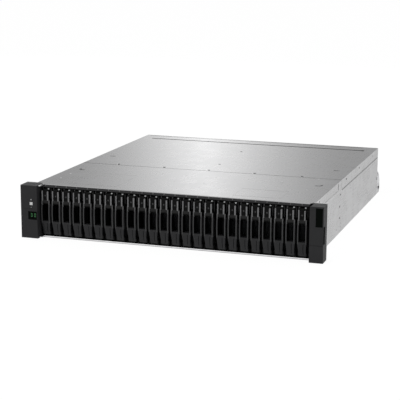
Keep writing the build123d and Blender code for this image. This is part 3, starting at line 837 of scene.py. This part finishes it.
def make_carrier_details(number):
    """Dull strips, the left one a light pipe in painted highlight, rail screws, contacts and a
    plain plate on one drive.
    """
    bm = bmesh.new()
    # The left light pipe, whose grey is a dimmer painted highlight.
    slab(bm, (-7.5, -5.9), (17.6, 20.1), (73.0, 78.2), 1, 0.3)
    slab(bm, (5.8, 7.1), (17.4, 20.1), (61.5, 75.5), 4, 0.3)
    slab(bm, (7.48, 7.62), (92, 162), (14, 67), 3, 0.05)
    for depth in (92, 160):
        for height, way in ((78.42, 1), (2.78, -1)):
            stud(bm, (0, depth, height), (0, 0, way), 2.1, 0.14, 1.9, 12, 0)
            stud(bm, (0, depth, height), (0, 0, way), 0.9, 0.18, 0.9, 6, 2)
    for height in range(9):
        slab(bm, (-3.9, 3.9), (175.2, 176.1), (20 + height * 2.6, 21.1 + height * 2.6), 0)
    bmesh.ops.translate(bm, verts=bm.verts, vec=(bay_middle(number), 0, 0))
    name = f"{number + 1:02d}"
    finishes = (steel_bright, edge_highlight_plastic, shade_and_joint_black, bare_label, bar_highlight_plastic)
    piece("carrier_details_" + name, bm, "drive_" + name, "carrier_body", *finishes)


bare_label = textured("bare_label", (0.55, 0.55, 0.55), 0.5, 1500, 0.00003)
for number in range(BAYS):
    make_carrier_details(number)
print("dressed", BAYS, "carriers")

# %% [markdown]
# ## Left end cap
#
# The cap has a smoked display with two green digits, a square mark above it and a small mark on
# each side of that. Short bars make any digit, as in a real seven-segment display, and only the
# lit bars are drawn. The number is a plain one.

# %% Display and marks
SEGMENTS = {
    "0": "abcdef",
    "3": "abcdg",
}
BARS = {
    "a": ((-1, 1), (1.8, 2.2)),
    "b": ((0.8, 1.2), (0.2, 2)),
    "c": ((0.8, 1.2), (-2, -0.2)),
    "d": ((-1, 1), (-2.2, -1.8)),
    "e": ((-1.2, -0.8), (-2, -0.2)),
    "f": ((-1.2, -0.8), (0.2, 2)),
    "g": ((-1, 1), (-0.2, 0.2)),
}


def make_display():
    """Smoked window, lit digits and the marks over it."""
    bm = bmesh.new()
    slab(bm, (-228.8, -214.0), (-0.03, 0.6), (30.0, 43.0), 0, 0.08)
    for digit, middle in (("3", -223.0), ("0", -217.0)):
        for bar in SEGMENTS[digit]:
            width, height = BARS[bar]
            across = [middle + value * 1.15 for value in width]
            up = [37.3 + value * 1.25 for value in height]
            slab(bm, across, (-0.06, 0.2), up, 1)
    slab(bm, (-225.7, -220.9), (-0.06, 0.3), (53.2, 57.8), 2, 0.1)
    stud(bm, (-223.3, 0.2, 61.8), (0, -1, 0), 1.2, 0.28, 1.1, 16, 3)
    stud(bm, (-223.3, 0.2, 49.6), (0, -1, 0), 1.1, 0.28, 1.0, 3, 3)
    slab(bm, (-236.0, -215.0), (-0.04, 0.3), (46.9, 47.2), 4)
    finishes = (smoked_window, lit_green, print_and_glint_white, mark_grey, button_plastic)
    return piece("display", bm, "enclosure", "cap_plastic", *finishes)


tell(make_display())

# %% [markdown]
# ## Right end cap
#
# The recess at the top of the cap holds a smooth dark plate. A fine joint line crosses the front
# under the finger notch, and a dark slit parts the cap from the cover. All three are thin dark
# slabs, because so fine a line needs no more shape than that.

# %% Plate and joint line


def make_right_cap_details():
    """Smooth plate in the recess, the joint line of the front and the slit by the cover."""
    bm = bmesh.new()
    slab(bm, (229.6, 239.7), (0.35, 1.0), (54.2, 81.9), 0, 0.2)
    slab(bm, (221.0, 240.4), (-0.02, 0.3), (26.0, 26.4), 1)
    # The black of the slit is painted shade in the gap.
    slab(bm, (218.9, 221.3), (1.5, 18.5), (82.6, 84.7), 1, 0.4)
    return piece("right_cap_plate", bm, "enclosure", "cap_plastic", smoked_window, shade_and_joint_black)


tell(make_right_cap_details())

# %% [markdown]
# ## Small silver parts at the front
#
# Over each drive a small rivet shows on the black strip, and a bright corner shows between the
# left cap and the cover. A grey strip on the front lip is a painted contact shadow along its lower
# edge.

# %% Strip rivets and corners


def make_front_hardware():
    """Strip rivets, the two bright corners by the left cap and a painted contact shadow on the
    edge of the lip.
    """
    bm = bmesh.new()
    for number in range(BAYS):
        middle = bay_middle(number) - ROW_SHIFT
        stud(bm, (middle, 15.5, 81.8), (0, -1, 0), 0.9, 0.45, 0.6, 12, 0)
        slab(bm, (middle - 0.5, middle + 0.5), (15.2, 15.6), (82.4, 83.8), 0)
    slab(bm, (-213.2, -209.6), (4.0, 15.0), (83.0, 83.7), 1, 0.15)
    slab(bm, (-213.2, -208.0), (4.5, 14.0), (1.2, 2.4), 1, 0.2)
    # A grey strip of painted contact shadow along the lower edge of the lip.
    slab(bm, (-213.0, 220.6), (13.36, 13.6), (0.05, 1.25), 2)
    finishes = (steel_dull, zinc, lip_shadow_sheet)
    return piece("front_hardware", bm, "enclosure", "galvanised_steel", *finishes)


tell(make_front_hardware())

# %% [markdown]
# ## Rivets and screws of the covers
#
# The sheets are joined by blind rivets and countersunk screws. Dark dots are open heads, and
# bright dots are domes. The dark of the open heads, sockets and dimples is painted shade, and the
# white of the domes is a painted highlight. Their places were read from the photograph on the
# right side. The photograph hides the left side, which mirrors them.

# %% Side and top fasteners
OPEN_HEADS = ((191.7, 62.8), (189.7, 43.6), (192.1, 24.7), (235.8, 79.6), (339.5, 79.2))
DOMES = ((200.7, 8.8), (171.9, 10.0), (460.3, 78.6))
SMALL_HEADS = ((200.8, 14.6), (475.6, 64.4), (459.7, 64.0))
SEAM_SCREWS = ((-160, 206), (-78.5, 206), (-0.7, 206), (77.9, 206), (157.6, 206))
SKIN, UNDER_TOP, ABOVE_TOP = SIDE - 0.2, TOP - 0.3, TOP + 0.02
UP = (0, 0, 1)
TOP_DIMPLES = ((0, 390), (0, 263), (203.6, 147), (-203.6, 147))
TOP_DOMES = ((188, 194), (-188, 194), (190.4, 104), (-202.1, 103.4), (-202.2, 66.6), (138, 154))
SPOT_ROWS = ((155, (-131, -63, -22, 29, 83, 138)), (103, (-24, 25, 190)), (69, (-130, -22, 29)))


def make_fasteners():
    """Rivets on both sides, screws along the seam and dimples of the top, with painted highlights
    on the domes.
    """
    bm = bmesh.new()
    for side in (-1, 1):
        out = (side, 0, 0)
        for depth, height in OPEN_HEADS:
            stud(bm, (side * SKIN, depth, height), out, 1.8, 0.35, 1.7, 16, 2)
            stud(bm, (side * SKIN, depth, height), out, 1.3, 0.42, 1.3, 14, 3)
        # The domes are white as a painted highlight.
        for depth, height in DOMES:
            stud(bm, (side * SKIN, depth, height), out, 2.0, 1.1, 0.9, 16, 4)
        for depth, height in SMALL_HEADS:
            stud(bm, (side * SKIN, depth, height), out, 0.9, 0.4, 0.8, 12, 2)
        low, high = sorted((side * (SIDE - 0.6), side * (SIDE + 0.03)))
        slab(bm, (low, high), (175.9, 178.1), (72.8, 82.9), 3)
        slab(bm, (low, high), (46.6, 48.4), (78.0, 82.7), 3)
        slab(bm, (low, high), (82.0, 176.0), (71.7, 72.3), 2)
        low, high = sorted((side * 194.0, side * 204.0))
        for middle in (142.0, 273.4):
            slab(bm, (low, high), (middle - 1.2, middle + 1.2), (UNDER_TOP, ABOVE_TOP), 3)
    for across, depth in SEAM_SCREWS:
        stud(bm, (across, depth, UNDER_TOP), UP, 3.2, 0.36, 3.1, 20, 1)
        stud(bm, (across, depth + 0.3, UNDER_TOP), UP, 2.7, 0.4, 2.7, 12, 3)
    for across, depth in TOP_DIMPLES:
        stud(bm, (across, depth, UNDER_TOP), UP, 2.2, 0.34, 2.1, 14, 3)
    # The domes are white as a painted highlight.
    for across, depth in TOP_DOMES:
        stud(bm, (across, depth, UNDER_TOP), UP, 2.0, 0.9, 1.0, 16, 4)
    for depth, places in SPOT_ROWS:
        for across in places:
            stud(bm, (across, depth, UNDER_TOP), UP, 1.2, 0.33, 1.1, 12, 2)
    finishes = (zinc, steel_bright, steel_dull, shade_and_joint_black, print_and_glint_white)
    return piece("cover_fasteners", bm, "enclosure", "galvanised_cover", *finishes)


tell(make_fasteners())

# %% [markdown]
# The top also carries one long groove near the rear, a line behind it, the joint between the
# two covers and the thin outlines of two rectangles. They could be a dark mask in the material,
# but at this low angle metal reflects strongly whatever its colour, so a mask stays pale. Each
# is a thin strip instead, which lies a hair above the sheet and only looks like a groove. The
# near-black of the groove and of the line behind it is painted shade.

# %% Grooves and outlines of the top
TOP_LINES = (
    ((-201, 203), (470.4, 474.8)),
    ((199.5, 205.0), (469.0, 476.0)),
    ((-216, 198), (501.6, 503.4)),
    ((-222, 222), (200.1, 201.3)),
)
OUTLINES = (((94, 168), (34, 85.5)), ((-173, -94), (34, 123)))


def make_cover_lines():
    """Dark strips for the groove, the lines and the outlines of the two rectangles; on the groove
    and the line behind it the dark is painted shade.
    """
    bm = bmesh.new()
    layer = (TOP - 0.1, ABOVE_TOP)
    for width, depth in TOP_LINES:
        slab(bm, width, depth, layer, 0)
    for width, depth in OUTLINES:
        for across in width:
            slab(bm, (across - 0.15, across + 0.15), depth, layer, 1)
        for along in depth:
            slab(bm, width, (along - 0.8, along + 0.8), layer, 1)
    return piece("cover_lines", bm, "enclosure", "galvanised_cover", shade_and_joint_black, steel_dull)


tell(make_cover_lines())

# %% [markdown]
# ## Rear corners
#
# Behind the rear edge each side wall runs on as a low tab, and each lever has a flat foot with a
# dark patch, which is painted shade of a notch. A second dark patch is painted shade in the gap
# between the wall and the lever. The tab and the foot belong to the outline of the object seen
# from the side.

# %% Wall tabs and lever feet


def make_rear_corners(side):
    """Tab of the side wall with a patch of painted shade in the gap, and the foot, the dark patch
    of painted notch shade and the grip strip of the lever beside it.
    """
    word = "right" if side > 0 else "left"
    bm = bmesh.new()
    slab(bm, (222.5, 223.5), (509.0, 530.0), (0.02, 5.4), 0, 0.3)
    # A dark patch of painted shade in the gap between the wall and the lever.
    slab(bm, (222.9, 223.56), (505.0, 509.4), (25.8, 31.2), 1)
    lever = bmesh.new()
    slab(lever, (212.3, 221.3), (541.0, 545.0), (1.0, 4.4), 0, 0.6)
    # A dark patch of painted shade where the foot has a notch.
    slab(lever, (220.9, 221.9), (535.5, 541.5), (4.6, 8.6), 1, 0.3)
    stud(lever, (221.3, 512.4, 37.4), (1, 0, 0), 2.4, 0.6, 2.2, 20, 0)
    for mesh in (bm, lever):
        if side < 0:
            bmesh.ops.scale(mesh, verts=mesh.verts, vec=(-1, 1, 1))
            bmesh.ops.recalc_face_normals(mesh, faces=mesh.faces)
    piece(f"wall_tab_{word}", bm, "enclosure", "galvanised_steel", zinc, shade_and_joint_black)
    name = f"power_lever_{word}"
    return piece(name + "_foot", lever, name, "lever_metal", lever_metal, port_and_notch_black)


for side in (1, -1):
    tell(make_rear_corners(side))

# %% [markdown]
# ## The rear
#
# The photograph doesn't show the rear, so it follows what such arrays have. Each port gets a
# bright collar round its opening, small lamps sit above the ports, and screws hold the plates.

# %% Controller rears
# Start, count, width, height and pitch of each row of ports.
PORT_ROWS = ((9.0, 4, 14.2, 9.6, 16.4), (86.6, 2, 13.4, 12.0, 17.0), (132.6, 2, 19.0, 8.6, 23.0))
CONTROLLER_SIDE = 114.8
LIP, RIM = 0.4, 0.9
BOARD_TOPS = {"controller_lower": 8.1, "controller_upper": 49.6}


def make_controller_rear(name, board_top):
    """Port collars, lamps and screws on the rear face of one controller."""
    bm = bmesh.new()
    for start, count, width, height, pitch in PORT_ROWS:
        for number in range(count):
            low = start - CONTROLLER_SIDE + number * pitch
            across = (low - LIP, low + width + LIP)
            up = (board_top - LIP, board_top + height + LIP)
            for strip in ((across[0], across[0] + RIM), (across[1] - RIM, across[1])):
                slab(bm, strip, (REAR - 0.3, REAR + 0.9), up, 0, 0.15)
            for strip in ((up[0], up[0] + RIM), (up[1] - RIM, up[1])):
                slab(bm, across, (REAR - 0.3, REAR + 0.9), strip, 0, 0.15)
            lamp = (low + width / 2, REAR - 0.1, board_top + height + 2.6)
            stud(bm, lamp, (0, 1, 0), 0.8, 0.5, 0.6, 12, 1)
    for across in (-110.5, 110.5):
        screw(bm, (across, REAR - 0.1, board_top + 26.5), (0, 1, 0), 2.4, 1.0, 0, 2)
    finishes = (steel_bright, lit_green, shade_and_joint_black)
    return piece(name + "_ports", bm, name, "canister_steel", *finishes)


for name, board_top in BOARD_TOPS.items():
    tell(make_controller_rear(name, board_top))

# %% [markdown]
# The wire guard of a fan is a few flat rings and a cross. Each ring is a circle whose edges are
# extruded outwards to a flat band, and the band is then given its thickness. The rings are drawn
# lying down and turned up at the end, because the circle operator draws in the XY plane.

# %% Fan guard
FAN_X, FAN_Z = 142.6, 21.25
RING_RADII, RING_WIDTH, RING_DEPTH = (16.4, 12.2, 8.0), 1.2, 0.9
BACKWARD = (0, 1, 0)


def make_guard(bm):
    """Rings, hub, cross and screws over the fan of a power supply."""
    for radius in RING_RADII:
        ring = bmesh.ops.create_circle(bm, segments=32, radius=radius)["verts"]
        rim = list({edge for vert in ring for edge in vert.link_edges})
        wide = bmesh.ops.extrude_edge_only(bm, edges=rim)["geom"]
        outer = [item for item in wide if isinstance(item, bmesh.types.BMVert)]
        grow = (radius + RING_WIDTH) / radius
        bmesh.ops.scale(bm, verts=outer, vec=(grow, grow, 1))
        flat = [item for item in wide if isinstance(item, bmesh.types.BMFace)]
        thick = bmesh.ops.extrude_face_region(bm, geom=flat)["geom"]
        lifted = [item for item in thick if isinstance(item, bmesh.types.BMVert)]
        bmesh.ops.translate(bm, verts=lifted, vec=(0, 0, RING_DEPTH))
    turn = Matrix.Rotation(math.radians(-90), 4, "X")
    bmesh.ops.transform(bm, verts=bm.verts, matrix=turn)
    bmesh.ops.translate(bm, verts=bm.verts, vec=(FAN_X, REAR + 0.1, FAN_Z))
    stud(bm, (FAN_X, REAR, FAN_Z), BACKWARD, 6.4, 1.1, 5.8, 24, 0)
    for start, end in (((-17, 17), (-0.6, 0.6)), ((-0.6, 0.6), (-17, 17))):
        across = (FAN_X + start[0], FAN_X + start[1])
        up = (FAN_Z + end[0], FAN_Z + end[1])
        slab(bm, across, (REAR - 0.1, REAR + 0.6), up, 0, 0.2)
    for across in (FAN_X - 16.5, FAN_X + 16.5):
        for height in (FAN_Z - 16.0, FAN_Z + 16.0):
            screw(bm, (across, REAR - 0.1, height), BACKWARD, 1.9, 0.9, 0, 3)


# %% Power supply rears
INLET_X, INLET_Z, INLET_HALF_WIDTH, INLET_HALF_HEIGHT = 185.6, 17.5, 14.4, 10.6


def make_collar(bm):
    """Four strips round the mains inlet, and a lamp over it."""
    layer = (REAR - 0.2, REAR + 1.4)
    for strip in ((-INLET_HALF_WIDTH, -12.3), (12.3, INLET_HALF_WIDTH)):
        across = (INLET_X + strip[0], INLET_X + strip[1])
        up = (INLET_Z - INLET_HALF_HEIGHT, INLET_Z + INLET_HALF_HEIGHT)
        slab(bm, across, layer, up, 1, 0.4)
    for strip in ((-INLET_HALF_HEIGHT, -8.6), (8.6, INLET_HALF_HEIGHT)):
        across = (INLET_X - INLET_HALF_WIDTH, INLET_X + INLET_HALF_WIDTH)
        up = (INLET_Z + strip[0], INLET_Z + strip[1])
        slab(bm, across, layer, up, 1, 0.4)
    stud(bm, (INLET_X - 8, REAR - 0.1, 33.5), BACKWARD, 1.2, 0.6, 1.0, 14, 2)


def make_supply_rear(side):
    """The fan guard and the inlet collar of one power supply. The left one is mirrored."""
    word = "right" if side > 0 else "left"
    bm = bmesh.new()
    make_guard(bm)
    make_collar(bm)
    if side < 0:
        bmesh.ops.scale(bm, verts=bm.verts, vec=(-1, 1, 1))
    bmesh.ops.recalc_face_normals(bm, faces=bm.faces)
    name = "power_supply_" + word
    finishes = (steel_bright, port_and_notch_black, lit_green, shade_and_joint_black)
    return piece(name + "_face", bm, name, "canister_steel", *finishes)


for side in (1, -1):
    tell(make_supply_rear(side))
